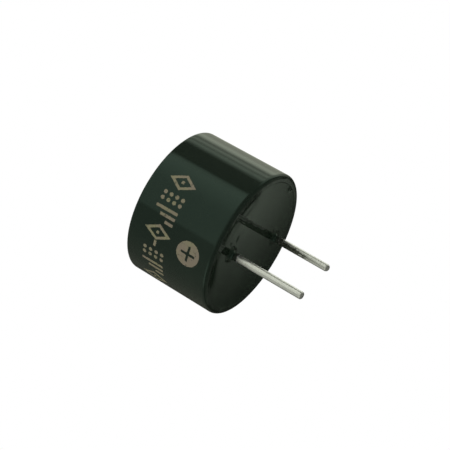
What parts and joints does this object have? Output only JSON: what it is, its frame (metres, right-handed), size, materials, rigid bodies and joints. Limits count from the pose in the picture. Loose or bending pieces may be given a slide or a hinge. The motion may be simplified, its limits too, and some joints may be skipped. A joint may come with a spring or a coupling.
{
  "type": "electromagnetic buzzer",
  "caption": "Round self-driven sounder with a sound hole in its top, a resin-sealed base and a long and a short pin for a circuit board.",
  "frame": {"origin": "centre of the seating plane, midway between the pins, where the rim of the case meets the host board", "axes": "+Z through the case to the sound hole, the pins point along -Z; +X through the long pin, which is the positive one"},
  "size_m": [0.012, 0.012, 0.0139],
  "materials": {
    "case": "glossy moulded thermoplastic, black with a green cast",
    "resin": "cured black potting resin, glossy, slightly uneven",
    "tinned_pin": "tin-plated copper wire, satin, with drawing marks",
    "solder": "bright solder",
    "board": "glass-fibre laminate with solder mask",
    "soft_iron": "nickel-plated soft iron",
    "magnet": "sintered ferrite, dark grey",
    "winding": "enamelled copper wire",
    "support": "moulded black plastic",
    "spring_steel": "thin rolled spring steel",
    "chip_package": "moulded epoxy package",
    "chip_ceramic": "alumina chip with a dark glaze"
  },
  "bodies": {
    "root": {"case": "case", "resin": "resin", "long_pin": "tinned_pin", "short_pin": "tinned_pin", "circuit_board": "board", "pin_solder": "solder", "yoke_plate": "soft_iron", "pole_core": "soft_iron", "magnet_ring": "magnet", "coil": "winding", "coil_leads": "winding", "lead_solder": "solder", "diaphragm_support": "support", "diaphragm": "spring_steel", "armature": "soft_iron", "transistor": "chip_package", "transistor_legs": "tinned_pin", "resistor": "chip_ceramic", "resistor_caps": "solder", "chip_solder": "solder"}
  },
  "joints": []
}
